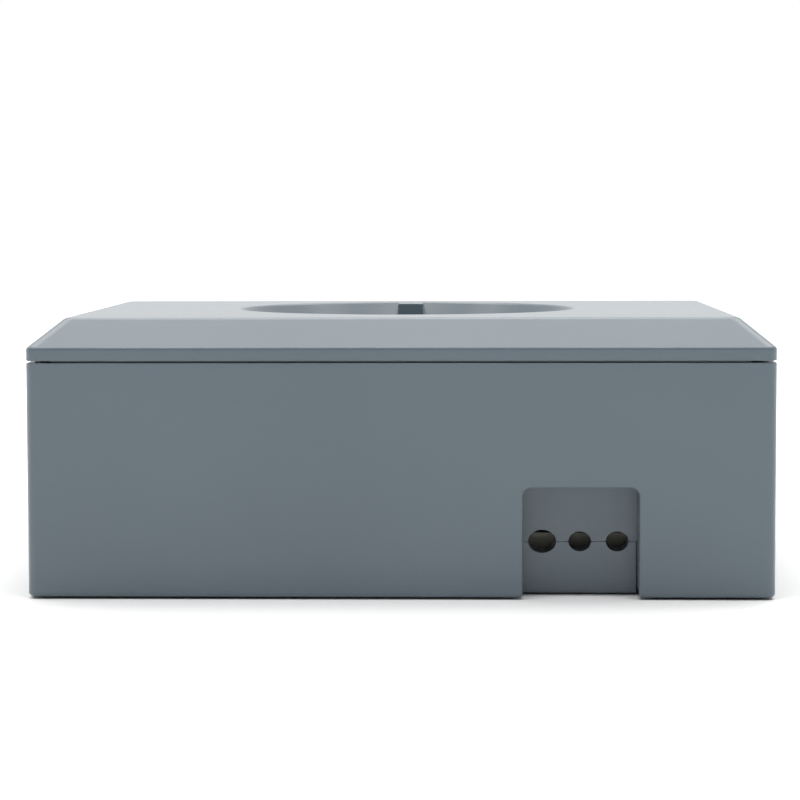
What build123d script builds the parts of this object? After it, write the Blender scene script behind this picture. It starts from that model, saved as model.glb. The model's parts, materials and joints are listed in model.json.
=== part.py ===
"""Countertop bill validator: a low desk housing with a slide-off lid, a belt-driven note transport fed
through a long front slot, stacking wheels behind it and a cash drawer below."""
from build123d import *
import math
import os

os.makedirs("parts", exist_ok=True)

# ---------------------------------------------------------------- driving dimensions (millimetres)
# X runs along the long side, the rear (cable side) is at -Y and the front at +Y, Z is up
WIDTH = 280.0            # over the housing walls
DEPTH = 210.0
HEIGHT = 105.0           # surface to the flat of the lid
FOOT_GAP = 0.8           # how far the feet hold the housing off the surface
WALL = 3.0
CORNER = 4.0             # radius of the upright corners
BODY_TOP = 88.65         # rim of the body, under the seam
LID_BOTTOM = 89.35       # rim of the lid, over the seam
BAND_TOP = 94.1          # where the lid's upright band turns into the bevel
BEVEL_RUN = 13.0
LID_SKIN = 2.5

DISH_RADIUS = 69.0       # finger dish in the lid
DISH_FLOOR_RADIUS = 60.0
DISH_Y = 6.0
DISH_FLOOR = 93.0
GRIP_WIDTH = 10.8        # pull block standing in the dish
GRIP_END = 63.0

NOTCH = (45.7, 89.1)     # cable recess in the rear wall, its two sides
NOTCH_TOP = 42.0
NOTCH_BACK = -91.0
NOTCH_RADIUS = 3.4
CLAMP_DEPTH = 11.0
CLAMP_Z = 20.3           # split line through the cable outlets
CABLE_OUTLETS = [(53.3, 5.3, 4.4), (67.5, 4.3, 3.8), (81.6, 4.3, 3.8)]   # x, half width, half height

PATH = (-124.0, 40.0)    # the note path between its side frames
PATH_FLOOR = 66.0
ROLLER_X = [-105.0, -63.0, -21.0, 21.0]
SHAFT_Z = 60.0
FRONT_SHAFT_Y = 88.0
REAR_SHAFT_Y = 34.0
STACKER_Y = 2.0
SHAFT_RADIUS = 2.5
DRIVE_RADIUS = 7.0       # rubber drive rollers
PINCH_RADIUS = 6.5
PINCH_Z = 73.9
PIVOT = (24.0, 76.0)     # y and z of the pinch frame's pivot
PLATE_LEFT = (-133.0, -131.0)
PLATE_RIGHT = (45.0, 47.0)
DECK = (49.0, 51.0)
PULLEY_RADIUS = 6.5
MOTOR_PULLEY_RADIUS = 5.0
MOTOR_AXIS = (61.0, 36.0)
BELT_GAP = 0.3
BELT_THICKNESS = 1.4

DRAWER_X = (-129.0, 37.0)
DRAWER_OPENING = (-132.0, 40.0)
DRAWER_OPENING_Z = (4.5, 46.5)
DRAWER_TOP = 43.5
PLATE_Z = (33.0, 35.0)   # note plate at rest
PLATE_SPRINGS = [(-86.0, -44.0), (-6.0, -44.0)]
LOCK = (22.0, 22.0)      # x and z of the lock

SLOT_Z = (66.0, 71.0)
BEZEL = (-133.7, 49.7)
BEZEL_Z = (56.3, 79.7)
LED_X = [70.0, 81.0, 92.0]
CONTROL_Z = 72.0
BUTTON_X = 112.0

INSIDE_X = WIDTH / 2 - WALL
INSIDE_Y = DEPTH / 2 - WALL
FLOOR = (FOOT_GAP, FOOT_GAP + 2.5)
FEET = [(x, y) for x in (-120.0, 120.0) for y in (-88.0, 88.0)]
BASE_SCREWS = [(-105.0, -98.6), (-10.0, -98.6), (129.0, -94.0), (129.0, 94.0), (60.0, 96.0)]
RUNNER_SCREWS = [(x, y) for x in (-125.0, 125.0) for y in (-86.0, -45.0, -4.0)]


def block(x, y, z, mode=Mode.ADD):
    """A box between two limits on each axis, in the part being built."""
    with Locations(((x[0] + x[1]) / 2, (y[0] + y[1]) / 2, (z[0] + z[1]) / 2)):
        Box(x[1] - x[0], y[1] - y[0], z[1] - z[0], mode=mode)


def rod(axis, span, centre, radius, mode=Mode.ADD):
    """A round bar along X, Y or Z between two limits; centre holds the other two coordinates."""
    middle = (span[0] + span[1]) / 2
    places = {
        "X": ((middle, centre[0], centre[1]), (0, 90, 0)),
        "Y": ((centre[0], middle, centre[1]), (90, 0, 0)),
        "Z": ((centre[0], centre[1], middle), (0, 0, 0)),
    }
    with Locations(Location(*places[axis])):
        Cylinder(radius, span[1] - span[0], mode=mode)


def finish(builder, name):
    """Label one subcomponent and write it out."""
    builder.part.label = name
    export_step(builder.part, f"parts/{name}.step")


# ---------------------------------------------------------------- housing
with BuildPart() as body_shell:
    with BuildSketch(Plane.XY.offset(FOOT_GAP)):
        RectangleRounded(WIDTH, DEPTH, CORNER)
    extrude(amount=BODY_TOP - FOOT_GAP)
    fillet(body_shell.faces().sort_by(Axis.Z)[0].edges(), 1.5)
    fillet(body_shell.faces().sort_by(Axis.Z)[-1].edges(), 0.5)
    with BuildSketch(Plane.XY):
        RectangleRounded(2 * INSIDE_X, 2 * INSIDE_Y, 1.5)
    extrude(amount=HEIGHT, mode=Mode.SUBTRACT)
    # cable recess with the upper half of the cable clamp at its back
    block((NOTCH[0] - 2.5, NOTCH[1] + 2.5), (-INSIDE_Y - 0.5, NOTCH_BACK + CLAMP_DEPTH),
          (FOOT_GAP + 2.0, NOTCH_TOP + 2.5))
    with BuildSketch(Plane.XZ.offset(-NOTCH_BACK)):
        with Locations(((NOTCH[0] + NOTCH[1]) / 2, NOTCH_TOP / 2 - 5)):
            RectangleRounded(NOTCH[1] - NOTCH[0], NOTCH_TOP + 10, NOTCH_RADIUS)
    extrude(amount=30, mode=Mode.SUBTRACT)
    block(NOTCH, (NOTCH_BACK, NOTCH_BACK + CLAMP_DEPTH), (0, CLAMP_Z + 0.1), Mode.SUBTRACT)
    with BuildSketch(Plane.XZ.offset(-NOTCH_BACK)):
        for outlet_x, half_width, half_height in CABLE_OUTLETS:
            with Locations((outlet_x, CLAMP_Z)):
                Ellipse(half_width, half_height)
    extrude(amount=-CLAMP_DEPTH, mode=Mode.SUBTRACT)
    fillet(body_shell.edges().filter_by_position(Axis.Y, -105.1, -104.9)
           .filter_by_position(Axis.Z, 1.6, NOTCH_TOP + 0.1)
           .filter_by_position(Axis.X, NOTCH[0] - 0.1, NOTCH[1] + 0.1), 0.7)
    # upstand that closes the parting gap along the front, low enough for the dish to slide over
    block((-131, 131), (100.3, INSIDE_Y + 0.5), (82, BODY_TOP - 0.8))
    block((-131, 131), (100.3, INSIDE_Y - 0.2), (86, DISH_FLOOR - LID_SKIN - 0.4))
    # front openings: note slot bezel, drawer, indicator lamps and button
    block((BEZEL[0] - 0.3, BEZEL[1] + 0.3), (INSIDE_Y - 1, DEPTH), (BEZEL_Z[0] - 0.3, BEZEL_Z[1] + 0.3),
          Mode.SUBTRACT)
    block(DRAWER_OPENING, (INSIDE_Y - 1, DEPTH), DRAWER_OPENING_Z, Mode.SUBTRACT)
    for lamp_x in LED_X:
        rod("Y", (INSIDE_Y - 1, DEPTH), (lamp_x, CONTROL_Z), 2.55, Mode.SUBTRACT)
    rod("Y", (INSIDE_Y - 1, DEPTH), (BUTTON_X, CONTROL_Z), 6.3, Mode.SUBTRACT)
    # posts for the front board, and bosses the base screws up into
    for post_x in (61.0, 122.0):
        rod("Y", (94.6, INSIDE_Y + 0.5), (post_x, 80.0), 2.5)
        rod("Y", (94.6, INSIDE_Y + 0.5), (post_x, 64.0), 2.5)
    for boss_x, boss_y in BASE_SCREWS:
        reach = -INSIDE_Y - 0.5 if boss_y < 0 else INSIDE_Y + 0.5
        rod("Z", (FLOOR[1], 30), (boss_x, boss_y), 3.2)
        block((boss_x - 2, boss_x + 2), sorted((boss_y, reach)), (FLOOR[1], 30))
        rod("Z", (FLOOR[1], 22), (boss_x, boss_y), 1.5, Mode.SUBTRACT)
finish(body_shell, "body_shell")

with BuildPart() as base_tray:
    with BuildSketch(Plane.XY.offset(FLOOR[0])):
        RectangleRounded(2 * INSIDE_X - 0.6, 2 * INSIDE_Y - 0.6, 1.5)
    extrude(amount=FLOOR[1] - FLOOR[0])
    block((NOTCH[0] - 2.8, NOTCH[1] + 2.8), (-110, NOTCH_BACK + CLAMP_DEPTH + 0.3), (0, 10), Mode.SUBTRACT)
    block((NOTCH[0] + 0.3, NOTCH[1] - 0.3), (NOTCH_BACK, NOTCH_BACK + CLAMP_DEPTH + 3),
          (FLOOR[0], CLAMP_Z - 0.1))
    with BuildSketch(Plane.XZ.offset(-NOTCH_BACK)):
        for outlet_x, half_width, half_height in CABLE_OUTLETS:
            with Locations((outlet_x, CLAMP_Z)):
                Ellipse(half_width, half_height)
    extrude(amount=-CLAMP_DEPTH - 4, mode=Mode.SUBTRACT)
    with Locations(*[(x, y, FLOOR[0] + 0.75) for x, y in FEET]):
        Cylinder(7.05, 1.5, mode=Mode.SUBTRACT)
    for screw_x, screw_y in BASE_SCREWS:
        rod("Z", (0, 5), (screw_x, screw_y), 1.6, Mode.SUBTRACT)
        rod("Z", (0, FLOOR[0] + 1.5), (screw_x, screw_y), 2.7, Mode.SUBTRACT)
    # posts for the interface board
    for post_x in (50.0, 88.0):
        for post_y in (-66.0, -16.0):
            rod("Z", (FLOOR[1] - 0.5, 8), (post_x, post_y), 2.5)
finish(base_tray, "base_tray")

with BuildPart() as rubber_feet:
    with Locations(*[(x, y, 1.15) for x, y in FEET]):
        Cylinder(7, 2.3)
    chamfer(rubber_feet.faces().group_by(Axis.Z)[0].edges(), 0.3)
finish(rubber_feet, "rubber_feet")

with BuildPart() as base_screws:
    for screw_x, screw_y in BASE_SCREWS:
        rod("Z", (FLOOR[0] + 0.2, FLOOR[0] + 1.5), (screw_x, screw_y), 2.6)
        rod("Z", (FLOOR[0] + 1.5, 14), (screw_x, screw_y), 1.4)
        rod("Z", (0, FLOOR[0] + 0.9), (screw_x, screw_y), 1.0, Mode.SUBTRACT)
finish(base_screws, "base_screws")


def lid_form(inset, bottom):
    """Bevelled block of the lid with every face set in by the given amount."""
    rise = (HEIGHT - BAND_TOP) / BEVEL_RUN
    band = BAND_TOP + inset * rise - inset * math.hypot(1, rise)
    run = (HEIGHT - inset - band) / rise
    width, depth, corner = WIDTH - 2 * inset, DEPTH - 2 * inset, CORNER - inset / 2
    with BuildPart() as form:
        with BuildSketch(Plane.XY.offset(bottom)):
            RectangleRounded(width, depth, corner)
        extrude(amount=band - bottom)
        with BuildSketch(Plane.XY.offset(band)):
            RectangleRounded(width, depth, corner)
        with BuildSketch(Plane.XY.offset(HEIGHT - inset)):
            RectangleRounded(width - 2 * run, depth - 2 * run, corner)
        loft(ruled=True)
    return form.part


def slanted(edge):
    """True for an edge that climbs."""
    return abs((edge @ 0).Z - (edge @ 1).Z) > 1


with BuildPart() as lid:
    add(lid_form(0, LID_BOTTOM))
    fillet(lid.faces().sort_by(Axis.Z)[-1].edges(), 3)
    fillet(lid.edges().filter_by_position(Axis.Z, BAND_TOP - 0.1, BAND_TOP + 0.1), 1.5)
    fillet(lid.faces().sort_by(Axis.Z)[0].edges(), 0.4)
    add(lid_form(LID_SKIN, LID_BOTTOM - 1), mode=Mode.SUBTRACT)
    # finger dish with its skin, and the pull block on its front side
    with Locations((0, DISH_Y, DISH_FLOOR - LID_SKIN)):
        Cone(DISH_FLOOR_RADIUS + 2, DISH_RADIUS + 4, HEIGHT - 1 - DISH_FLOOR + LID_SKIN,
             align=(Align.CENTER, Align.CENTER, Align.MIN))
    with Locations((0, DISH_Y, DISH_FLOOR)):
        Cone(DISH_FLOOR_RADIUS, DISH_RADIUS, HEIGHT - DISH_FLOOR,
             align=(Align.CENTER, Align.CENTER, Align.MIN), mode=Mode.SUBTRACT)
    for level, radius in ((HEIGHT, 1.6), (DISH_FLOOR, 5)):
        fillet(lid.edges().filter_by(GeomType.CIRCLE).filter_by(lambda edge: edge.radius > 50)
               .filter_by_position(Axis.Z, level - 0.1, level + 0.1), radius)
    with BuildPart(mode=Mode.PRIVATE) as grip:
        for level, spread in ((DISH_FLOOR - 1, 0.7), (HEIGHT - 0.2, 0)):
            with BuildSketch(Plane.XY.offset(level)):
                with Locations((0, (GRIP_END + DISH_Y + DISH_RADIUS) / 2)):
                    Rectangle(GRIP_WIDTH + 2 * spread, DISH_Y + DISH_RADIUS - GRIP_END + spread)
        loft()
        fillet(grip.edges().filter_by(slanted).sort_by(Axis.Y)[:2], 1.2)
        fillet(grip.faces().sort_by(Axis.Z)[-1].edges(), 0.5)
    add(grip.part)
    # lip that closes the parting gap along the rear
    block((-130.5, 130.5), (-INSIDE_Y - 0.8, -100.4), (LID_BOTTOM + 0.4, 92))
    block((-130.5, 130.5), (-INSIDE_Y + 0.4, -100.4), (87.6, 92))
    # bosses the runners screw to
    for boss_x, boss_y in RUNNER_SCREWS:
        rod("Z", (93, 103), (boss_x, boss_y), 3)
        rod("Z", (92, 98), (boss_x, boss_y), 1.25, Mode.SUBTRACT)
finish(lid, "lid")

with BuildPart() as lid_runners:
    for side in (-1, 1):
        block(sorted((side * 121, side * 130.9)), (-97, 8), (91.5, 93))
        block(sorted((side * 128, side * 130.9)), (-97, 8), (83.4, 92))
        block(sorted((side * 130, side * 133.6)), (-97, 8), (83.4, 85.9))
    for screw_x, screw_y in RUNNER_SCREWS:
        rod("Z", (90, 94), (screw_x, screw_y), 1.6, Mode.SUBTRACT)
finish(lid_runners, "lid_runners")

with BuildPart() as lid_screws:
    for screw_x, screw_y in RUNNER_SCREWS:
        rod("Z", (90.2, 91.5), (screw_x, screw_y), 2.4)
        rod("Z", (91.5, 97), (screw_x, screw_y), 1.2)
        rod("Z", (90, 90.8), (screw_x, screw_y), 0.8, Mode.SUBTRACT)
finish(lid_screws, "lid_screws")

with BuildPart() as lid_rails:
    for side in (-1, 1):
        block(sorted((side * 131.5, side * INSIDE_X)), (-100, 100), (81, 88.4))
        block(sorted((side * 131, side * 134)), (-101, 101), (83, 86.3), Mode.SUBTRACT)
        # rib behind the parting gap, just under the lid's rear wall as it slides past
        block(sorted((side * 134.8, side * 136.6)), (-100, 100), (88, LID_BOTTOM - 0.35))
    chamfer(lid_rails.faces().group_by(Axis.Z)[-1].edges().filter_by(Axis.Y), 0.3)
finish(lid_rails, "lid_rails")

# ---------------------------------------------------------------- chassis
with BuildPart() as chassis:
    block((-134, 49), (-96, 94), DECK)
    block((-134, -132), (-96, 86), (FLOOR[1], DECK[1]))
    block((40, 42), (-96, 86), (FLOOR[1], DECK[1]))
    block((-134, -124), (-96, 86), (FLOOR[1], 4.8))
    block((40, 52), (-8, 86), (FLOOR[1], 4.8))
    block((-122, 30), (-88, 18), (45, 55), Mode.SUBTRACT)
    fillet(chassis.edges().filter_by(Axis.Z).filter_by_position(Axis.X, -122.1, 30.1), 3)
    for hole_y in (0.0, 40.0, 80.0):
        rod("Z", (0, 6), (47, hole_y), 1.7, Mode.SUBTRACT)
finish(chassis, "chassis")

with BuildPart() as drawer_runners:
    block((-132, -123), (-92, 100), (4.8, 6.1))
    block((-132, -129.5), (-92, 100), (4.8, 14))
    block((31, 40), (-92, 100), (FLOOR[1], 6.1))
    block((37.5, 40), (-92, 100), (FLOOR[1], 14))
finish(drawer_runners, "drawer_runners")

with BuildPart() as lock_strike:
    block((40.6, 50), (99, INSIDE_Y), (10, 40))
    block((40.6, 50), (92.4, 99.5), (14, 32))
    fillet(lock_strike.edges().filter_by(Axis.Z).filter_by_position(Axis.Y, 92.3, 92.5), 1)
finish(lock_strike, "lock_strike")

# ---------------------------------------------------------------- lower transport
with BuildPart() as transport_plates:
    for plate in (PLATE_LEFT, PLATE_RIGHT):
        block(plate, (-16, 97), (DECK[1], 80))
    fillet(transport_plates.edges().filter_by(Axis.X).filter_by_position(Axis.Z, 79.9, 80.1), 6)
    for plate in (PLATE_LEFT, PLATE_RIGHT):
        for shaft_y in (FRONT_SHAFT_Y, REAR_SHAFT_Y, STACKER_Y):
            rod("X", plate, (shaft_y, SHAFT_Z), 4.5, Mode.SUBTRACT)
        rod("X", plate, PIVOT, 1.55, Mode.SUBTRACT)
        rod("X", plate, (61, 74), 4, Mode.SUBTRACT)
finish(transport_plates, "transport_plates")

with BuildPart() as shaft_bushings:
    for plate in (PLATE_LEFT, PLATE_RIGHT):
        for shaft_y in (FRONT_SHAFT_Y, REAR_SHAFT_Y, STACKER_Y):
            rod("X", plate, (shaft_y, SHAFT_Z), 4.5)
            inner = (plate[1], plate[1] + 1) if plate is PLATE_LEFT else (plate[0] - 1, plate[0])
            rod("X", inner, (shaft_y, SHAFT_Z), 5.5)
            rod("X", (plate[0] - 2, plate[1] + 2), (shaft_y, SHAFT_Z), SHAFT_RADIUS + 0.05, Mode.SUBTRACT)
finish(shaft_bushings, "shaft_bushings")

with BuildPart() as lower_guide:
    block((PATH[0], PATH[1]), (20, 97), (64, PATH_FLOOR))
    block((PLATE_LEFT[1], PATH[0] + 1), (24, 93), (60, 64))
    block((PATH[1] - 1, PLATE_RIGHT[0]), (24, 93), (60, 64))
    for cut_y in (REAR_SHAFT_Y, FRONT_SHAFT_Y):
        for edge_x in (PLATE_LEFT[1], PLATE_RIGHT[0]):
            block((edge_x - 8, edge_x + 8), (cut_y - 6, cut_y + 6), (59, 66.5), Mode.SUBTRACT)
        for roller_x in ROLLER_X:
            block((roller_x - 6.5, roller_x + 6.5), (cut_y - 6, cut_y + 6), (60, 70), Mode.SUBTRACT)
    block((-118, 34), (56, 66), (60, 70), Mode.SUBTRACT)
    chamfer(lower_guide.edges().filter_by(Axis.X).filter_by_position(Axis.Z, 65.9, 66.1)
            .filter_by_position(Axis.Y, 96.9, 97.1), 1.2)
finish(lower_guide, "lower_guide")

with BuildPart() as sensor_window:
    block((-117.9, 33.9), (56.1, 65.9), (64.1, PATH_FLOOR))
finish(sensor_window, "sensor_window")

with BuildPart() as lower_sensor:
    block((-120, 36), (55, 67), (DECK[1], 63.5))
    block((-116, 32), (58, 64), (62, 64), Mode.SUBTRACT)
    with GridLocations(12, 1, 12, 1):
        with Locations((-42, 61, 62.4)):
            Box(5, 3, 0.8)
    fillet(lower_sensor.edges().filter_by(Axis.Z).group_by(SortBy.LENGTH)[-1], 1)
finish(lower_sensor, "lower_sensor")


def rollers(y, z, radius, hub, core, width):
    """Row of tyres on the path's roller stations, bored for the shaft."""
    with BuildPart() as row:
        for roller_x in ROLLER_X:
            span = (roller_x - width / 2, roller_x + width / 2)
            rod("X", span, (y, z), radius)
            rod("X", (span[0] - 1, span[1] + 1), (y, z), hub)
            rod("X", (span[0] - 2, span[1] + 2), (y, z), core, Mode.SUBTRACT)
    return row.part


def drive_shaft(y, end):
    """Steel shaft across the transport, with an e-clip groove at its left end."""
    with BuildPart() as bar:
        rod("X", (-135.6, end), (y, SHAFT_Z), SHAFT_RADIUS)
        chamfer(bar.faces().sort_by(Axis.X)[0].edges(), 0.5)
        chamfer(bar.faces().sort_by(Axis.X)[-1].edges(), 0.5)
    return bar.part


def pulley(y, z, radius, span, core):
    """Belt pulley between two flanges."""
    with BuildPart() as wheel:
        rod("X", span, (y, z), radius)
        rod("X", (span[0], span[0] + 0.8), (y, z), radius + 2)
        rod("X", (span[1] - 0.8, span[1]), (y, z), radius + 2)
        rod("X", (span[0] - 1, span[1] + 1), (y, z), core, Mode.SUBTRACT)
    return wheel.part


with BuildPart() as front_drive_shaft:
    add(drive_shaft(FRONT_SHAFT_Y, 55.2))
finish(front_drive_shaft, "front_drive_shaft")

with BuildPart() as front_drive_rollers:
    add(rollers(FRONT_SHAFT_Y, SHAFT_Z, DRIVE_RADIUS, 4.5, SHAFT_RADIUS, 10))
finish(front_drive_rollers, "front_drive_rollers")

with BuildPart() as front_pulley:
    add(pulley(FRONT_SHAFT_Y, SHAFT_Z, PULLEY_RADIUS, (49.4, 54.6), SHAFT_RADIUS))
finish(front_pulley, "front_pulley")

with BuildPart() as rear_drive_shaft:
    add(drive_shaft(REAR_SHAFT_Y, 61.6))
finish(rear_drive_shaft, "rear_drive_shaft")

with BuildPart() as rear_drive_rollers:
    add(rollers(REAR_SHAFT_Y, SHAFT_Z, DRIVE_RADIUS, 4.5, SHAFT_RADIUS, 10))
finish(rear_drive_rollers, "rear_drive_rollers")

with BuildPart() as rear_pulleys:
    add(pulley(REAR_SHAFT_Y, SHAFT_Z, PULLEY_RADIUS, (49.4, 54.6), SHAFT_RADIUS))
    add(pulley(REAR_SHAFT_Y, SHAFT_Z, PULLEY_RADIUS, (55.8, 61.0), SHAFT_RADIUS))
finish(rear_pulleys, "rear_pulleys")

with BuildPart() as stacker_shaft:
    add(drive_shaft(STACKER_Y, 61.6))
finish(stacker_shaft, "stacker_shaft")

with BuildPart() as stacker_pulley:
    add(pulley(STACKER_Y, SHAFT_Z, PULLEY_RADIUS, (55.8, 61.0), SHAFT_RADIUS))
finish(stacker_pulley, "stacker_pulley")

with BuildPart() as stacking_wheels:
    for wheel_x in (-84.0, -42.0, 0.0):
        with BuildSketch(Plane.YZ.offset(wheel_x - 2)) as fingers:
            with Locations((STACKER_Y, SHAFT_Z)):
                Circle(5)
                with PolarLocations(0, 8):
                    with Locations(Location((7.6, 3.2), 52)):
                        SlotOverall(11, 1.4)
                Circle(SHAFT_RADIUS, mode=Mode.SUBTRACT)
        extrude(amount=4)
finish(stacking_wheels, "stacking_wheels")


def belt(span, wheels):
    """Flat belt round a set of pulleys, clear of each by the belt gap."""
    with BuildPart() as loop:
        for grow, mode in ((BELT_GAP + BELT_THICKNESS, Mode.ADD), (BELT_GAP, Mode.SUBTRACT)):
            with BuildSketch(Plane.YZ.offset(span[0])):
                for wheel_y, wheel_z, wheel_radius in wheels:
                    with Locations((wheel_y, wheel_z)):
                        Circle(wheel_radius + grow)
                make_hull()
            extrude(amount=span[1] - span[0], mode=mode)
    return loop.part


with BuildPart() as timing_belt:
    add(belt((50.5, 53.5), [(FRONT_SHAFT_Y, SHAFT_Z, PULLEY_RADIUS), (REAR_SHAFT_Y, SHAFT_Z, PULLEY_RADIUS),
                            (*MOTOR_AXIS, MOTOR_PULLEY_RADIUS)]))
finish(timing_belt, "timing_belt")

with BuildPart() as stacker_belt:
    add(belt((56.9, 59.9), [(REAR_SHAFT_Y, SHAFT_Z, PULLEY_RADIUS), (STACKER_Y, SHAFT_Z, PULLEY_RADIUS)]))
finish(stacker_belt, "stacker_belt")

with BuildPart() as drive_motor:
    rod("X", (58, 92), MOTOR_AXIS, 14)
    fillet(drive_motor.edges().filter_by(GeomType.CIRCLE), 1.2)
    rod("X", (56.6, 58), MOTOR_AXIS, 4)
    rod("X", (92, 94), MOTOR_AXIS, 4)
    block((94, 96), (58, 60), (39, 42))
    block((92, 96), (58, 60), (39, 40))
    block((92, 96), (62, 64), (39, 40))
    rod("X", (56, 64), MOTOR_AXIS, 1.55, Mode.SUBTRACT)
finish(drive_motor, "drive_motor")

with BuildPart() as motor_pulley:
    add(pulley(*MOTOR_AXIS, MOTOR_PULLEY_RADIUS, (49.6, 54.6), 1))
    rod("X", (49, 63), MOTOR_AXIS, 1.5)
finish(motor_pulley, "motor_pulley")

with BuildPart() as motor_bracket:
    block((56.4, 58), (45, 77), (FLOOR[1], 52))
    block((56.4, 84), (45, 77), (FLOOR[1], 4.8))
    rod("X", (56, 58), MOTOR_AXIS, 4, Mode.SUBTRACT)
    fillet(motor_bracket.edges().filter_by(Axis.X).filter_by_position(Axis.Z, 51.9, 52.1), 4)
    for screw_y in (50.0, 72.0):
        rod("Z", (0, 6), (78, screw_y), 1.7, Mode.SUBTRACT)
finish(motor_bracket, "motor_bracket")

# ---------------------------------------------------------------- pinch frame over the note path
with BuildPart() as pinch_frame:
    for ear in ((PATH[0] - 3.4, PATH[0] - 1.4), (PATH[1] + 1.4, PATH[1] + 3.4)):
        block(ear, (19, 97), (70.4, 78))
    block((PATH[0] - 1.4, PATH[1] + 1.4), (95, 97), (71.9, 78))
    block((PATH[0] - 1.4, PATH[1] + 1.4), (19, 20.5), (71.9, 78))
    rod("X", (PLATE_LEFT[0] + 0.2, PATH[0] - 2), PIVOT, 1.5)
    rod("X", (PATH[1] + 2, PLATE_RIGHT[1] - 0.2), PIVOT, 1.5)
    for ear in ((PATH[0] - 3.5, PATH[0] - 1.3), (PATH[1] + 1.3, PATH[1] + 3.5)):
        for shaft_y in (FRONT_SHAFT_Y, REAR_SHAFT_Y):
            rod("X", ear, (shaft_y, PINCH_Z), 1.55, Mode.SUBTRACT)
finish(pinch_frame, "pinch_frame")

with BuildPart() as upper_guide:
    block((PATH[0] - 1.4, PATH[1] + 1.4), (21, 96), (70.4, 71.9))
    for cut_y in (REAR_SHAFT_Y, FRONT_SHAFT_Y):
        for roller_x in ROLLER_X:
            block((roller_x - 6.5, roller_x + 6.5), (cut_y - 6.8, cut_y + 6.8), (70, 72), Mode.SUBTRACT)
    block((-118, 34), (56, 66), (70, 72), Mode.SUBTRACT)
    chamfer(upper_guide.edges().filter_by(Axis.X).filter_by_position(Axis.Z, 70.3, 70.5)
            .filter_by_position(Axis.Y, 95.9, 96.1), 1)
finish(upper_guide, "upper_guide")

with BuildPart() as upper_sensor:
    block((-117.9, 33.9), (56.1, 65.9), (70.8, 72))
    block((-120, 36), (53, 69), (71.9, 82))
    block((-112, 28), (56, 66), (79, 83), Mode.SUBTRACT)
    fillet(upper_sensor.edges().filter_by(Axis.Z).filter_by_position(Axis.X, -120.1, -119.9), 1.5)
    fillet(upper_sensor.edges().filter_by(Axis.Z).filter_by_position(Axis.X, 35.9, 36.1), 1.5)
finish(upper_sensor, "upper_sensor")

for place, shaft_y in (("front", FRONT_SHAFT_Y), ("rear", REAR_SHAFT_Y)):
    with BuildPart() as pinch_shaft:
        rod("X", (PATH[0] - 4.2, PATH[1] + 4.2), (shaft_y, PINCH_Z), 1.5)
    finish(pinch_shaft, f"{place}_pinch_shaft")
    with BuildPart() as pinch_rollers:
        add(rollers(shaft_y, PINCH_Z, PINCH_RADIUS, 3, 1.5, 9))
    finish(pinch_rollers, f"{place}_pinch_rollers")

# ---------------------------------------------------------------- front panel fittings
with BuildPart() as slot_bezel:
    block(BEZEL, (98.3, DEPTH / 2), BEZEL_Z)
    fillet(slot_bezel.edges().filter_by(Axis.Y), 2)
    block(PATH, (95, DEPTH), SLOT_Z, Mode.SUBTRACT)
    chamfer(slot_bezel.faces().sort_by(Axis.Y)[-1].inner_wires().edges(), 3.5)
    block((-120, 36), (103.2, DEPTH), (75.9, 78.1), Mode.SUBTRACT)
finish(slot_bezel, "slot_bezel")

with BuildPart() as light_guide:
    block((-119.9, 35.9), (103.2, 104.8), (76, 78))
finish(light_guide, "light_guide")

with BuildPart() as status_lamps:
    for lamp_x in LED_X:
        rod("Y", (94.6, 104.2), (lamp_x, CONTROL_Z), 2.5)
        rod("Y", (94.6, 96.6), (lamp_x, CONTROL_Z), 3)
    fillet(status_lamps.faces().group_by(Axis.Y)[-1].edges(), 2)
finish(status_lamps, "status_lamps")

with BuildPart() as push_button:
    rod("Y", (99.6, 104.7), (BUTTON_X, CONTROL_Z), 6)
    rod("Y", (99.6, 101.4), (BUTTON_X, CONTROL_Z), 8)
    fillet(push_button.faces().sort_by(Axis.Y)[-1].edges(), 0.8)
    rod("Y", (98.6, 99.8), (BUTTON_X, CONTROL_Z), 1.6)
finish(push_button, "push_button")



def coil_spring(pitch, height, radius, wire):
    """Round-wire compression spring standing on the origin."""
    with BuildPart() as coil:
        with BuildLine() as helix:
            Helix(pitch, height, radius)
        with BuildSketch(Plane(helix.line @ 0, z_dir=helix.line % 0)):
            Circle(wire)
        sweep()
    return coil.part


with BuildPart() as button_spring:
    add(coil_spring(1.3, 3.9, 4.4, 0.25).moved(Location((BUTTON_X, 95.1, CONTROL_Z), (-90, 0, 0))))
finish(button_spring, "button_spring")

with BuildPart() as front_board:
    block((58, 126), (93, 94.6), (60, 84))
    block((BUTTON_X - 2.5, BUTTON_X + 2.5), (94.6, 97.2), (CONTROL_Z - 2.5, CONTROL_Z + 2.5))
    block((94, 100), (88, 93), (62, 70))
    for post_x in (61.0, 122.0):
        for post_z in (64.0, 80.0):
            rod("Y", (92, 95), (post_x, post_z), 1.2, Mode.SUBTRACT)
finish(front_board, "front_board")

# ---------------------------------------------------------------- cash drawer
with BuildPart() as cash_drawer:
    block(DRAWER_X, (-92, 102.2), (6.5, DRAWER_TOP))
    fillet(cash_drawer.edges().filter_by(Axis.Z).filter_by_position(Axis.Y, -92.1, -91.9), 3)
    block((DRAWER_X[0] + 2, DRAWER_X[1] - 2), (-90, 3), (8.5, DRAWER_TOP + 1), Mode.SUBTRACT)
    block((DRAWER_X[0] + 2, DRAWER_X[1] - 2), (5, 100.2), (8.5, DRAWER_TOP + 1), Mode.SUBTRACT)
    block((DRAWER_X[1] - 3, DRAWER_X[1] + 1), (87, 95), (15, DRAWER_TOP + 1), Mode.SUBTRACT)
    block((-77, -7), (99, 103), (16, 36), Mode.SUBTRACT)
    rod("Y", (99, 103), LOCK, 7.5, Mode.SUBTRACT)
finish(cash_drawer, "cash_drawer")

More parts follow.
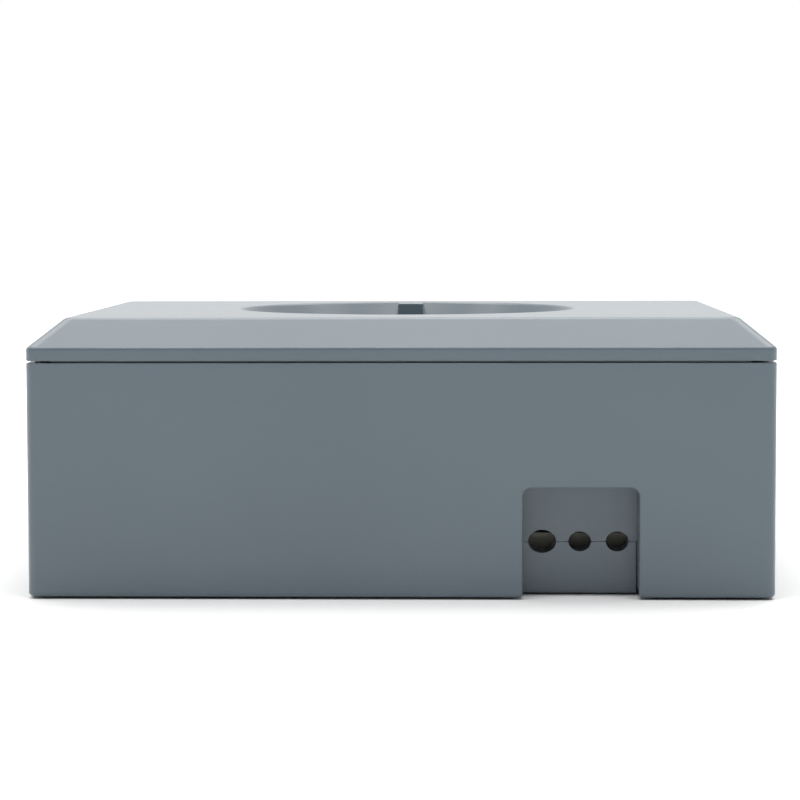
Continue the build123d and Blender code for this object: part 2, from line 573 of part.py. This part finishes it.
with BuildPart() as drawer_front:
    block((DRAWER_OPENING[0] + 0.4, DRAWER_OPENING[1] - 0.4), (102.2, DEPTH / 2),
          (DRAWER_OPENING_Z[0] + 0.4, DRAWER_OPENING_Z[1] - 0.4))
    fillet(drawer_front.edges().filter_by(Axis.Y), 1.2)
    block((-77, -7), (100, DEPTH), (16, 36), Mode.SUBTRACT)
    rod("Y", (100, DEPTH), LOCK, 7.5, Mode.SUBTRACT)
    fillet(drawer_front.faces().sort_by(Axis.Y)[-1].outer_wire().edges(), 0.6)
finish(drawer_front, "drawer_front")

with BuildPart() as drawer_pull:
    block((-77, -7), (86, DEPTH / 2), (16, 36))
    block((-75.5, -8.5), (87.5, DEPTH), (17.5, 34.5), Mode.SUBTRACT)
    block((-75.5, -8.5), (103, DEPTH / 2), (27, 34.5))
    fillet(drawer_pull.edges().filter_by(Axis.X).filter_by_position(Axis.Z, 26.9, 27.1), 0.8)
finish(drawer_pull, "drawer_pull")

with BuildPart() as note_plate:
    block((-125.5, 33.5), (-88.5, 1.5), PLATE_Z)
    fillet(note_plate.edges().filter_by(Axis.Z), 3)
    for spring_x, spring_y in PLATE_SPRINGS:
        rod("Z", (PLATE_Z[0] - 3, PLATE_Z[0]), (spring_x, spring_y), 5.5)
finish(note_plate, "note_plate")

with BuildPart() as plate_springs:
    for spring_x, spring_y in PLATE_SPRINGS:
        add(coil_spring(5, 22.5, 7.5, 0.6).moved(Location((spring_x, spring_y, 9.4))))
finish(plate_springs, "plate_springs")

with BuildPart() as lock_barrel:
    rod("Y", (92, DEPTH / 2), LOCK, 7.5)
    fillet(lock_barrel.faces().sort_by(Axis.Y)[-1].edges(), 0.6)
    rod("Y", (90, DEPTH), LOCK, 5.6, Mode.SUBTRACT)
finish(lock_barrel, "lock_barrel")

with BuildPart() as lock_plug:
    rod("Y", (91.6, 104.6), LOCK, 5.55)
    block((LOCK[0] - 0.8, LOCK[0] + 0.8), (100, DEPTH), (LOCK[1] - 3.5, LOCK[1] + 3.5), Mode.SUBTRACT)
finish(lock_plug, "lock_plug")

with BuildPart() as lock_cam:
    with BuildSketch(Plane.XZ.offset(-90)):
        with Locations((LOCK[0], LOCK[1] + 8.75)):
            SlotOverall(26.5, 9, rotation=90)
    extrude(amount=-1.6)
finish(lock_cam, "lock_cam")

# ---------------------------------------------------------------- electronics
with BuildPart() as board_carrier:
    block((-131, 40), (-92, -24), (66, 67.5))
    block((-131, -129.5), (-92, -24), (DECK[1], 67))
    block((38.5, 40), (-92, -24), (DECK[1], 67))
    block((-100, 10), (-74, -42), (65, 68), Mode.SUBTRACT)
    for post_x in (-112.0, 22.0):
        for post_y in (-86.0, -30.0):
            rod("Z", (67, 72.5), (post_x, post_y), 2.5)
finish(board_carrier, "board_carrier")

with BuildPart() as main_board:
    block((-116, 26), (-90, -26), (72.5, 74.1))
    for post_x in (-112.0, 22.0):
        for post_y in (-86.0, -30.0):
            rod("Z", (72, 75), (post_x, post_y), 1.6, Mode.SUBTRACT)
finish(main_board, "main_board")

with BuildPart() as board_parts:
    block((-62, -38), (-70, -46), (74.1, 76.1))
    block((-98, -82), (-66, -52), (74.1, 75.7))
    block((-22, -10), (-64, -46), (74.1, 75.7))
    block((-10, 14), (-40, -34), (74.1, 81))
    block((-100, -72), (-40, -34), (74.1, 81))
    block((4, 16), (-72, -58), (74.1, 80))
    for part_x, part_y, part_radius, part_height in ((-30, -80, 4, 9), (-18, -80, 4, 9), (-74, -80, 3, 7)):
        rod("Z", (74.1, 74.1 + part_height), (part_x, part_y), part_radius)
finish(board_parts, "board_parts")

with BuildPart() as power_supply:
    block((98, 134), (-62, 42), (FLOOR[1], 42))
    fillet(power_supply.edges().filter_by(Axis.Y), 1)
    with Locations((116, -10, 42)):
        with GridLocations(6, 8, 4, 8):
            Cylinder(1.6, 4, mode=Mode.SUBTRACT)
finish(power_supply, "power_supply")

with BuildPart() as supply_terminals:
    block((102, 130), (-74, -62), (8, 20))
    for gate_x in (106.0, 112.0, 118.0, 124.0):
        block((gate_x - 2, gate_x + 2), (-75, -70), (10, 15), Mode.SUBTRACT)
        rod("Z", (17, 21), (gate_x, -68), 1.8, Mode.SUBTRACT)
finish(supply_terminals, "supply_terminals")

with BuildPart() as interface_board:
    block((46, 92), (-70, -12), (8, 9.6))
    block((60, 72), (-44, -32), (9.6, 11.2))
    block((78, 84), (-46, -26), (9.6, 13))
finish(interface_board, "interface_board")

with BuildPart() as cable_sockets:
    for socket_x, half_width in ((54.0, 6.0), (68.0, 5.0), (81.5, 5.0)):
        block((socket_x - half_width, socket_x + half_width), (-70.5, -58), (9.6, 21))
        block((socket_x - half_width + 1.2, socket_x + half_width - 1.2), (-71, -67.5), (12, 19.5), Mode.SUBTRACT)
finish(cable_sockets, "cable_sockets")
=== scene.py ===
import json
import math

import bpy
from bpy.props import FloatProperty, FloatVectorProperty, PointerProperty
from mathutils import Matrix, Vector


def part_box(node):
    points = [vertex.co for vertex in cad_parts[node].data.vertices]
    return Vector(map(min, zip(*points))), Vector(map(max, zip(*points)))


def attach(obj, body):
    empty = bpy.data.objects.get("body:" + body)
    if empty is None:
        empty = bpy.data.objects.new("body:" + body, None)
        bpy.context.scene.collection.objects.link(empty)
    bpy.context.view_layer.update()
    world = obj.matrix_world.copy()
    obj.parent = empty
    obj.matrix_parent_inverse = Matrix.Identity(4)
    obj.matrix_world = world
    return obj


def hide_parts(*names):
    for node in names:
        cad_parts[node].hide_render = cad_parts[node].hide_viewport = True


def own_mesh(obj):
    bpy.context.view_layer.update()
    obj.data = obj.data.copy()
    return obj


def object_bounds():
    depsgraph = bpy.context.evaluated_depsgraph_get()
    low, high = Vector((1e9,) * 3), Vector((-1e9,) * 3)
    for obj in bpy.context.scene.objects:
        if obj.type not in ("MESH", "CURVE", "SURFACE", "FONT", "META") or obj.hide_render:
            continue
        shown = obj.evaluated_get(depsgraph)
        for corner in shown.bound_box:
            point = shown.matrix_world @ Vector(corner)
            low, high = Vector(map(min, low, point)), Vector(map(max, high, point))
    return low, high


bl_info = {
    "name": "Bill Validator",
    "version": (1, 0, 0),
    "blender": (4, 5, 0),
    "location": "View3D > Sidebar > Bill Validator",
    "description": "Finishes and small pieces of a countertop bill validator",
    "category": "Object",
}

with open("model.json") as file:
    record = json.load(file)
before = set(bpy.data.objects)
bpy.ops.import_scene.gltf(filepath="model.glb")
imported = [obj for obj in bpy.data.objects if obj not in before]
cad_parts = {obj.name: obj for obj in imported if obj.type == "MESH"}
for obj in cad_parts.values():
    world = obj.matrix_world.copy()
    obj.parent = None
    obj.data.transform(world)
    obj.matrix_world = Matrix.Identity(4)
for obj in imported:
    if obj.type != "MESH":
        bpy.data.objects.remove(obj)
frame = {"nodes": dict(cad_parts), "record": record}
cad_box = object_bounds()
CAD = frame["nodes"]
BEHAVIOUR = frame["record"]["behaviour"]
BODY_OF = {node: body for body, nodes in BEHAVIOUR["bodies"].items() for node in nodes}

FLOOR_SIZE = 12
PAINTED_SHADE_DARKEST_AT, PAINTED_SHADE_GONE_AT = 0.0, 1.1      # distance from the walls over which the floor's glow comes up; nearer in, the floor is painted darker as shade around the object
FLOOR_GLOW = 0.62
SKY_TURN = 0.6                        # how far round the sky goes from its rear to its front brightness
SOFTBOX = {"place": (0, 0.62, 1.6), "target": (0, 0.45, 0.1), "size": (2.4, 1.5), "colour": (1.0, 0.985, 0.965)}
STRIP = {"place": (0, -0.50, 1.5), "target": (0, 0, 0.1), "size": (1.9, 0.16), "colour": (1.0, 1.0, 1.0)}
CAMERA_HEADING, CAMERA_DIP, CAMERA_ROLL = 0.02877, 0.07345, -0.0023
WELD = 0.000001


# ---------------------------------------------------------------- shader maths
class Signal:
    """A shader socket that can be used in sums."""

    def __init__(self, shader, socket):
        self.shader, self.socket = shader, socket

    def _math(self, operation, *values):
        return self.shader.node("ShaderNodeMath", {"operation": operation}, dict(enumerate(values)))

    def __add__(self, other):
        return self._math("ADD", self, other)

    __radd__ = __add__

    def __sub__(self, other):
        return self._math("SUBTRACT", self, other)

    def __rsub__(self, other):
        return self._math("SUBTRACT", other, self)

    def __mul__(self, other):
        return self._math("MULTIPLY", self, other)

    __rmul__ = __mul__

    def __truediv__(self, other):
        return self._math("DIVIDE", self, other)

    def __pow__(self, other):
        return self._math("POWER", self, other)

    def __abs__(self):
        return self._math("ABSOLUTE", self)

    def larger(self, other):
        return self._math("MAXIMUM", self, other)

    def above(self, level):
        return self._math("GREATER_THAN", self, level)

    def below(self, level):
        return self._math("LESS_THAN", self, level)

    def within(self, low, high):
        """0 up to low, 1 from high on, smooth between."""
        return self.shader.node("ShaderNodeMapRange", {"interpolation_type": "SMOOTHSTEP", "clamp": True},
                                {"Value": self, "From Min": low, "From Max": high})

    def folded(self, pitch):
        """Distance to the nearest multiple of pitch, from 0 to half the pitch."""
        return self._math("PINGPONG", self, pitch / 2)


class Finish:
    """One material and its nodes."""

    def __init__(self, name):
        self.material = bpy.data.materials.new(name)
        self.material.use_nodes = True
        self.tree = self.material.node_tree
        self.tree.nodes.clear()
        self.surface = self.tree.nodes.new("ShaderNodeBsdfPrincipled")
        output = self.tree.nodes.new("ShaderNodeOutputMaterial")
        self.tree.links.new(self.surface.outputs[0], output.inputs[0])
        self.place = self.node("ShaderNodeTexCoord", {}, {}, "Object")

    def node(self, kind, settings, inputs, output=0):
        made = self.tree.nodes.new(kind)
        for name, value in settings.items():
            if name == "stops":
                while len(made.color_ramp.elements) < len(value):
                    made.color_ramp.elements.new(0.5)
                for element, (position, colour) in zip(made.color_ramp.elements, value):
                    element.position, element.color = position, (*colour, 1)
            else:
                setattr(made, name, value)
        for name, value in inputs.items():
            self.feed(made.inputs[name], value)
        return Signal(self, made.outputs[output])

    def feed(self, socket, value):
        if isinstance(value, Signal):
            self.tree.links.new(value.socket, socket)
        elif isinstance(value, tuple) and socket.type == "RGBA":
            socket.default_value = (*value[:3], 1)
        else:
            socket.default_value = value

    def noise(self, scale, detail=2.0, roughness=0.5, stretch=(1, 1, 1)):
        spot = self.place
        if stretch != (1, 1, 1):
            spot = self.node("ShaderNodeMapping", {}, {"Vector": self.place, "Scale": stretch})
        return self.node("ShaderNodeTexNoise", {}, {"Vector": spot, "Scale": scale, "Detail": detail,
                                                    "Roughness": roughness})

    def axes(self):
        made = self.tree.nodes.new("ShaderNodeSeparateXYZ")
        self.tree.links.new(self.place.socket, made.inputs[0])
        return [Signal(self, output) for output in made.outputs]

    def mix(self, amount, one, other):
        """Colour one where amount is 0, the other where it is 1."""
        made = self.tree.nodes.new("ShaderNodeMix")
        made.data_type = "RGBA"
        for index, value in ((0, amount), (6, one), (7, other)):
            self.feed(made.inputs[index], value)
        return Signal(self, made.outputs[2])

    def bump(self, height, distance, strength=1.0):
        return self.node("ShaderNodeBump", {}, {"Height": height, "Distance": distance, "Strength": strength})

    def set(self, **sockets):
        for name, value in sockets.items():
            self.feed(self.surface.inputs[name.replace("_", " ")], value)
        return self


def shade(colour, factor):
    return tuple(min(1.0, channel * factor) for channel in colour[:3])


def moulded_plastic(name, colour, grain=1400.0, depth=0.00002, roughness=0.42, polish=0.0):
    """Spark-textured moulding: fine grain, slow drift of tone and faint handling marks."""
    look = Finish(name)
    drift = look.noise(9.0, 3.0)
    grains = look.noise(grain, 2.0, 0.6)
    marks = look.noise(60.0, 5.0, 0.7).within(0.62, 0.8)
    tone = look.mix(drift.within(0.3, 0.7), shade(colour, 0.965), shade(colour, 1.035))
    tone = look.mix(marks * 0.10, tone, shade(colour, 1.25))
    return look.set(Base_Color=tone, Roughness=roughness + (grains - 0.5) * 0.16 + marks * 0.05,
                    Normal=look.bump(grains, depth), Coat_Weight=polish, Coat_Roughness=0.16).material


def smooth_plastic(name, colour, roughness=0.22, coat=0.0):
    """Polished moulding with a slight orange peel and fine dust."""
    look = Finish(name)
    peel = look.noise(240.0, 1.0)
    dust = look.noise(900.0, 3.0, 0.7).within(0.66, 0.8)
    return look.set(Base_Color=look.mix(dust * 0.12, colour, (0.5, 0.5, 0.5)),
                    Roughness=roughness + dust * 0.2 + (peel - 0.5) * 0.06,
                    Normal=look.bump(peel, 0.00002), Coat_Weight=coat).material


def sheet_metal(name, colour, roughness=0.34, spangle=0.0):
    """Zinc-coated sheet: spangle, rolling lines and small scratches."""
    look = Finish(name)
    crystals = look.node("ShaderNodeTexVoronoi", {}, {"Vector": look.place, "Scale": 260.0}, "Color")
    crystal = look.node("ShaderNodeRGBToBW", {}, {"Color": crystals})
    lines = look.noise(500.0, 2.0, 0.6, (0.04, 1, 1))
    tone = look.mix(crystal * spangle + lines * 0.25, shade(colour, 0.82), shade(colour, 1.12))
    return look.set(Base_Color=tone, Metallic=1.0, Roughness=roughness + (crystal - 0.5) * spangle * 0.3
                    + (lines - 0.5) * 0.14, Normal=look.bump(lines, 0.00001)).material


def turned_metal(name, colour, roughness=0.22, pitch=0.0004):
    """Ground or turned bar along X, with fine rings."""
    look = Finish(name)
    across = look.axes()[0]
    rings = across.folded(pitch) * (2 / pitch)
    smear = look.noise(120.0, 3.0)
    return look.set(Base_Color=look.mix(smear, shade(colour, 0.9), shade(colour, 1.08)), Metallic=1.0,
                    Roughness=roughness + smear * 0.1, Normal=look.bump(rings, 0.000004)).material


def soft_rubber(name, colour, roughness=0.72, pitch=0.0):
    """Rubber with a dusty bloom, ground across its face where it has a pitch."""
    look = Finish(name)
    bloom = look.noise(70.0, 4.0, 0.6)
    skin = look.noise(900.0, 2.0)
    height = skin if not pitch else skin * 0.5 + look.axes()[0].folded(pitch) * (1 / pitch)
    return look.set(Base_Color=look.mix(bloom.within(0.4, 0.75), colour, shade(colour, 1.5)),
                    Roughness=roughness + (bloom - 0.5) * 0.2, Normal=look.bump(height, 0.00004)).material


def painted_steel(name, colour):
    """Powder coat with its orange peel, worn a little brighter in spots."""
    look = Finish(name)
    peel = look.noise(420.0, 2.0, 0.55)
    worn = look.noise(45.0, 6.0, 0.75).within(0.66, 0.74)
    return look.set(Base_Color=look.mix(worn * 0.35, colour, shade(colour, 2.2)),
                    Roughness=0.38 + (peel - 0.5) * 0.2, Normal=look.bump(peel, 0.00003)).material


def clear_plastic(name, colour):
    """Clear window with fine wiping marks."""
    look = Finish(name)
    wipes = look.noise(300.0, 3.0, 0.6, (0.08, 1, 1))
    return look.set(Base_Color=colour, Roughness=0.06 + wipes.within(0.55, 0.8) * 0.2, Alpha=0.35,
                    IOR=1.49).material


def lit_plastic(name, colour, strength):
    """Translucent diffuser with a soft glow, mottled by fine noise."""
    look = Finish(name)
    cells = look.noise(350.0, 2.0)
    glow = look.mix(cells, shade(colour, 0.8), shade(colour, 1.3))
    return look.set(Base_Color=glow, Emission_Color=glow, Emission_Strength=strength,
                    Roughness=0.3 + cells * 0.1).material


def circuit_board(name, mask):
    """Solder mask over copper tracks and vias."""
    look = Finish(name)
    runs = look.node("ShaderNodeTexBrick", {"offset": 0.37, "squash": 0.7},
                     {"Vector": look.place, "Scale": 260.0, "Mortar Size": 0.09, "Mortar Smooth": 0.1,
                      "Brick Width": 2.2, "Row Height": 0.5}, "Fac")
    broken = look.noise(55.0, 1.0).within(0.47, 0.5)
    tracks = runs * broken
    vias = look.node("ShaderNodeTexVoronoi", {}, {"Vector": look.place, "Scale": 160.0}, "Distance")
    ring = vias.below(0.16) * vias.above(0.08)
    tone = look.mix(tracks, mask, shade(mask, 1.9))
    tone = look.mix(ring, tone, (0.62, 0.48, 0.20))
    return look.set(Base_Color=tone, Roughness=0.32 + tracks * 0.08, Metallic=ring * 0.9,
                    Normal=look.bump(tracks, 0.00003), Coat_Weight=0.3).material


def bright_chrome(name, colour):
    """Plated metal with faint swirl marks."""
    look = Finish(name)
    swirl = look.noise(400.0, 4.0, 0.7)
    return look.set(Base_Color=colour, Metallic=1.0, Roughness=0.07 + swirl.within(0.5, 0.8) * 0.14,
                    Normal=look.bump(swirl, 0.000003)).material


# ---------------------------------------------------------------- settings
class HousingSettings(bpy.types.PropertyGroup):
    """Colour and surface of the housing."""

    plastic: FloatVectorProperty(
        name="Plastic", description="Colour of the housing and the lid", subtype="COLOR",
        default=(0.090, 0.125, 0.152), min=0, max=1)
    grain: FloatProperty(
        name="Grain", description="Texture grains in a metre", default=1500.0, min=100.0, max=4000.0)
    roughness: FloatProperty(
        name="Roughness", description="Roughness of the texture", default=0.36, min=0, max=1, subtype="FACTOR")
    polish: FloatProperty(
        name="Polish", description="Shine of the moulded skin", default=0.45, min=0, max=1, subtype="FACTOR")


class WorksSettings(bpy.types.PropertyGroup):
    """Colours of what is inside."""

    board: FloatVectorProperty(
        name="Board", description="Solder mask of the circuit boards", subtype="COLOR",
        default=(0.012, 0.085, 0.035), min=0, max=1)
    wheel: FloatVectorProperty(
        name="Stacking wheel", description="Colour of the soft wheels", subtype="COLOR",
        default=(0.42, 0.13, 0.02), min=0, max=1)
    light: FloatVectorProperty(
        name="Slot light", description="Colour of the light over the slot", subtype="COLOR",
        default=(0.10, 0.75, 0.25), min=0, max=1)


class StageSettings(bpy.types.PropertyGroup):
    """Floor, lights and camera."""

    lens: FloatProperty(name="Lens", description="Focal length in millimetres", default=114.18, min=20, max=300)
    eye: FloatVectorProperty(
        name="Camera", description="Where the camera stands", subtype="TRANSLATION", unit="LENGTH",
        default=(0.02714, -1.04472, 0.14407))
    top_light: FloatProperty(
        name="Top light", description="Power of the softbox overhead", unit="POWER", default=30.0, min=0)
    strip_light: FloatProperty(
        name="Strip light", description="Power of the narrow light over the rear", unit="POWER", default=12.0,
        min=0)
    sky: FloatVectorProperty(
        name="Sky", description="Brightness towards the rear and towards the front", size=2,
        default=(0.40, 1.01), min=0)


# ---------------------------------------------------------------- finishes
def dress(material, *names):
    """Give CAD nodes a finish."""
    for name in names:
        mesh = CAD[name].data
        mesh.materials.clear()
        mesh.materials.append(material)


class BILL_OT_housing(bpy.types.Operator):
    """Housing, lid and drawer front in textured plastic, with the feet and screws"""

    bl_idname = "bill.housing"
    bl_label = "Housing"

    def execute(self, context):
        settings = context.scene.bill_housing
        plastic = moulded_plastic("housing plastic", tuple(settings.plastic), settings.grain,
                                  roughness=settings.roughness, polish=settings.polish)
        dress(plastic, "body_shell", "base_tray", "lid", "drawer_front")
        dress(soft_rubber("foot rubber", (0.012, 0.012, 0.012)), "rubber_feet")
        dress(turned_metal("screw zinc", (0.55, 0.56, 0.58), 0.3), "base_screws", "lid_screws", "lock_cam")
        dress(moulded_plastic("acetal", (0.62, 0.62, 0.59), 900.0, 0.00001, 0.34), "lid_rails",
              "drawer_runners", "note_plate")
        dress(sheet_metal("anodised strip", (0.58, 0.59, 0.61), 0.3), "lid_runners")
        return {"FINISHED"}


class BILL_OT_chassis(bpy.types.Operator):
    """Galvanised chassis, brackets and supply, painted frame"""

    bl_idname = "bill.chassis"
    bl_label = "Chassis"

    def execute(self, context):
        dress(sheet_metal("galvanised sheet", (0.52, 0.53, 0.54), 0.36, 0.45), "chassis", "transport_plates",
              "motor_bracket", "board_carrier")
        dress(sheet_metal("folded aluminium", (0.62, 0.63, 0.65), 0.32), "power_supply")
        dress(sheet_metal("cast zinc", (0.40, 0.41, 0.42), 0.42, 0.1), "lock_strike")
        dress(painted_steel("frame paint", (0.022, 0.027, 0.033)), "pinch_frame")
        dress(bright_chrome("lock chrome", (0.72, 0.73, 0.75)), "lock_barrel", "lock_plug")
        return {"FINISHED"}


class BILL_OT_transport(bpy.types.Operator):
    """Shafts, rollers, pulleys, belts, guides and sensors"""

    bl_idname = "bill.transport"
    bl_label = "Note transport"

    def execute(self, context):
        dress(turned_metal("ground steel", (0.60, 0.61, 0.63), 0.18), "front_drive_shaft", "rear_drive_shaft",
              "stacker_shaft", "front_pinch_shaft", "rear_pinch_shaft")
        dress(turned_metal("turned aluminium", (0.70, 0.71, 0.73), 0.26, 0.0006), "front_pulley", "rear_pulleys",
              "stacker_pulley", "motor_pulley")
        dress(turned_metal("sintered bronze", (0.42, 0.24, 0.09), 0.4), "shaft_bushings")
        dress(turned_metal("plated can", (0.47, 0.48, 0.50), 0.3, 0.0012), "drive_motor")
        dress(soft_rubber("drive rubber", (0.030, 0.033, 0.040), 0.66, 0.0005), "front_drive_rollers",
              "rear_drive_rollers", "front_pinch_rollers", "rear_pinch_rollers")
        dress(soft_rubber("belt rubber", (0.012, 0.012, 0.013), 0.6, 0.0008), "timing_belt", "stacker_belt")
        dress(soft_rubber("wheel rubber", tuple(context.scene.bill_works.wheel), 0.5), "stacking_wheels")
        dress(smooth_plastic("guide plastic", (0.010, 0.011, 0.012), 0.26), "lower_guide", "upper_guide")
        dress(moulded_plastic("sensor housing", (0.016, 0.018, 0.020), 1100.0, 0.00001, 0.4), "lower_sensor",
              "upper_sensor")
        dress(clear_plastic("window", (0.75, 0.80, 0.82)), "sensor_window")
        dress(turned_metal("spring wire", (0.60, 0.61, 0.62), 0.2), "plate_springs", "button_spring")
        return {"FINISHED"}


class BILL_OT_front(bpy.types.Operator):
    """Slot bezel, light, lamps, button and drawer"""

    bl_idname = "bill.front"
    bl_label = "Front and drawer"

    def execute(self, context):
        light = tuple(context.scene.bill_works.light)
        dress(smooth_plastic("bezel plastic", (0.006, 0.006, 0.007), 0.14, 0.6), "slot_bezel")
        dress(lit_plastic("slot light", light, 0.6), "light_guide")
        dress(lit_plastic("lamp lens", (0.12, 0.55, 0.10), 0.35), "status_lamps")
        dress(smooth_plastic("button plastic", (0.010, 0.050, 0.26), 0.25, 0.3), "push_button")
        dress(moulded_plastic("drawer plastic", (0.020, 0.023, 0.026), 1200.0, 0.00002, 0.44), "cash_drawer",
              "drawer_pull")
        return {"FINISHED"}


class BILL_OT_boards(bpy.types.Operator):
    """Circuit boards and what stands on them"""

    bl_idname = "bill.boards"
    bl_label = "Boards"

    def execute(self, context):
        mask = tuple(context.scene.bill_works.board)
        dress(circuit_board("solder mask", mask), "main_board", "front_board", "interface_board")
        dress(smooth_plastic("chip moulding", (0.012, 0.012, 0.013), 0.42), "board_parts")
        dress(smooth_plastic("terminal plastic", (0.015, 0.16, 0.05), 0.35), "supply_terminals")
        dress(smooth_plastic("socket plastic", (0.66, 0.64, 0.55), 0.38), "cable_sockets")
        return {"FINISHED"}


class BILL_OT_springs(bpy.types.Operator):
    """Plate springs and button spring, copied as welded wires onto their bodies"""

    bl_idname = "bill.springs"
    bl_label = "Springs"

    def execute(self, context):
        self.shortening_spring(context, "plate_springs", "note_plate_lift", Vector((0, 0, 1)))
        self.shortening_spring(context, "button_spring", "button_press", Vector((0, 1, 0)))
        return {"FINISHED"}

    def shortening_spring(self, context, node, joint, along):
        """Copy a spring's wire, closed up, and put it on its body in place of the CAD spring; its shortened
        share of length is worked out but not used.
        """
        travel = max(abs(end) for found in BEHAVIOUR["joints"] if found["name"] == joint
                     for end in found["range_m"])
        low, high = (Vector(corner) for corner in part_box(node))
        length = (high - low).dot(along)
        wire = bpy.data.objects.new(node + "_wire", CAD[node].data.copy())
        context.scene.collection.objects.link(wire)
        bpy.ops.object.select_all(action="DESELECT")
        wire.select_set(True)
        context.view_layer.objects.active = wire
        bpy.ops.object.mode_set(mode="EDIT")
        bpy.ops.mesh.select_all(action="SELECT")
        bpy.ops.mesh.remove_doubles(threshold=WELD)
        bpy.ops.object.mode_set(mode="OBJECT")
        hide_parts(node)
        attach(wire, BODY_OF[node])
        (length - travel) / length
        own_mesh(wire)


# ---------------------------------------------------------------- stage
def floor_with_painted_shade(name, glow):
    """White floor that glows more and more away from the object, so it carries painted shade around the object
    on top of the object's own shadow.
    """
    look = Finish(name)
    paper = look.noise(3.0, 2.0)
    across, along, _ = look.axes()
    clear = (abs(across) - cad_box[1][0]).larger(abs(along) - cad_box[1][1])
    # emission held back near the object paints shade on the floor around it
    return look.set(Base_Color=look.mix(paper, (0.86, 0.86, 0.86), (0.88, 0.88, 0.88)), Roughness=0.9,
                    Specular_IOR_Level=0.1, Emission_Strength=glow, Emission_Color=look.mix(
                        clear.within(PAINTED_SHADE_DARKEST_AT, PAINTED_SHADE_GONE_AT), (0.0, 0.0, 0.0), (1.0, 1.0, 1.0))).material


def soft_light(name, place, target, size, power, colour):
    lamp = bpy.data.lights.new(name, "AREA")
    lamp.shape, lamp.size, lamp.size_y = "RECTANGLE", *size
    lamp.energy, lamp.color = power, colour
    holder = bpy.data.objects.new(name, lamp)
    holder.location = place
    holder.rotation_euler = (Vector(target) - Vector(place)).to_track_quat("-Z", "Y").to_euler()
    bpy.context.scene.collection.objects.link(holder)
    return holder


def graded_sky(name, rear, front):
    """White all round, dimmer towards the rear of the object than towards its front."""
    world = bpy.data.worlds.new(name)
    world.use_nodes = True
    nodes, links = world.node_tree.nodes, world.node_tree.links
    direction = nodes.new("ShaderNodeTexCoord")
    split = nodes.new("ShaderNodeSeparateXYZ")
    grade = nodes.new("ShaderNodeMapRange")
    grade.interpolation_type = "SMOOTHSTEP"
    for socket, value in (("From Min", -SKY_TURN), ("From Max", SKY_TURN), ("To Min", rear), ("To Max", front)):
        grade.inputs[socket].default_value = value
    links.new(direction.outputs["Generated"], split.inputs[0])
    links.new(split.outputs["Y"], grade.inputs["Value"])
    links.new(grade.outputs["Result"], nodes["Background"].inputs["Strength"])
    nodes["Background"].inputs["Color"].default_value = (1, 1, 1, 1)
    return world


class BILL_OT_stage(bpy.types.Operator):
    """Pale floor, soft lights and camera"""

    bl_idname = "bill.stage"
    bl_label = "Stage"

    def execute(self, context):
        settings = context.scene.bill_stage
        bpy.ops.object.select_all(action="DESELECT")
        bpy.ops.mesh.primitive_plane_add(size=FLOOR_SIZE, location=(0, 0, 0))
        floor = context.active_object
        floor.name = "floor"
        # the floor glows less near the object, which paints shade around it
        floor.data.materials.append(floor_with_painted_shade("floor paper with painted shade", FLOOR_GLOW))
        context.scene.world = graded_sky("studio", *settings.sky)
        soft_light("overhead", power=settings.top_light, **SOFTBOX)
        soft_light("strip", power=settings.strip_light, **STRIP)
        camera = bpy.data.cameras.new("camera")
        camera.lens, camera.sensor_width = settings.lens, 36.0
        camera.clip_start, camera.clip_end = 0.05, 60
        holder = bpy.data.objects.new("camera", camera)
        turn = (Matrix.Rotation(CAMERA_HEADING, 4, "Z") @ Matrix.Rotation(math.pi / 2 - CAMERA_DIP, 4, "X")
                @ Matrix.Rotation(CAMERA_ROLL, 4, "Z"))
        holder.matrix_world = Matrix.Translation(settings.eye) @ turn
        context.scene.collection.objects.link(holder)
        context.scene.camera = holder
        context.scene.view_settings.view_transform = "Standard"
        return {"FINISHED"}


class BILL_PT_panel(bpy.types.Panel):
    """Settings and operators of the bill validator"""

    bl_label = "Bill Validator"
    bl_idname = "BILL_PT_panel"
    bl_space_type = "VIEW_3D"
    bl_region_type = "UI"
    bl_category = "Bill Validator"

    def draw(self, context):
        for group in SETTINGS:
            settings = getattr(context.scene, group)
            for name in settings.bl_rna.properties.keys():
                if name not in {"rna_type", "name"}:
                    self.layout.prop(settings, name)
        for operator in OPERATORS:
            self.layout.operator(operator.bl_idname)


SETTINGS = {"bill_housing": HousingSettings, "bill_works": WorksSettings, "bill_stage": StageSettings}
OPERATORS = [BILL_OT_housing, BILL_OT_chassis, BILL_OT_transport, BILL_OT_front, BILL_OT_boards,
             BILL_OT_springs, BILL_OT_stage]


def register():
    for group, settings in SETTINGS.items():
        bpy.utils.register_class(settings)
        setattr(bpy.types.Scene, group, PointerProperty(type=settings))
    for made in (*OPERATORS, BILL_PT_panel):
        bpy.utils.register_class(made)


def unregister():
    for made in (BILL_PT_panel, *reversed(OPERATORS)):
        bpy.utils.unregister_class(made)
    for group, settings in reversed(SETTINGS.items()):
        delattr(bpy.types.Scene, group)
        bpy.utils.unregister_class(settings)


def main():
    register()
    for operator in OPERATORS:
        group, name = operator.bl_idname.split(".")
        getattr(getattr(bpy.ops, group), name)()


if __name__ == "__main__":
    main()
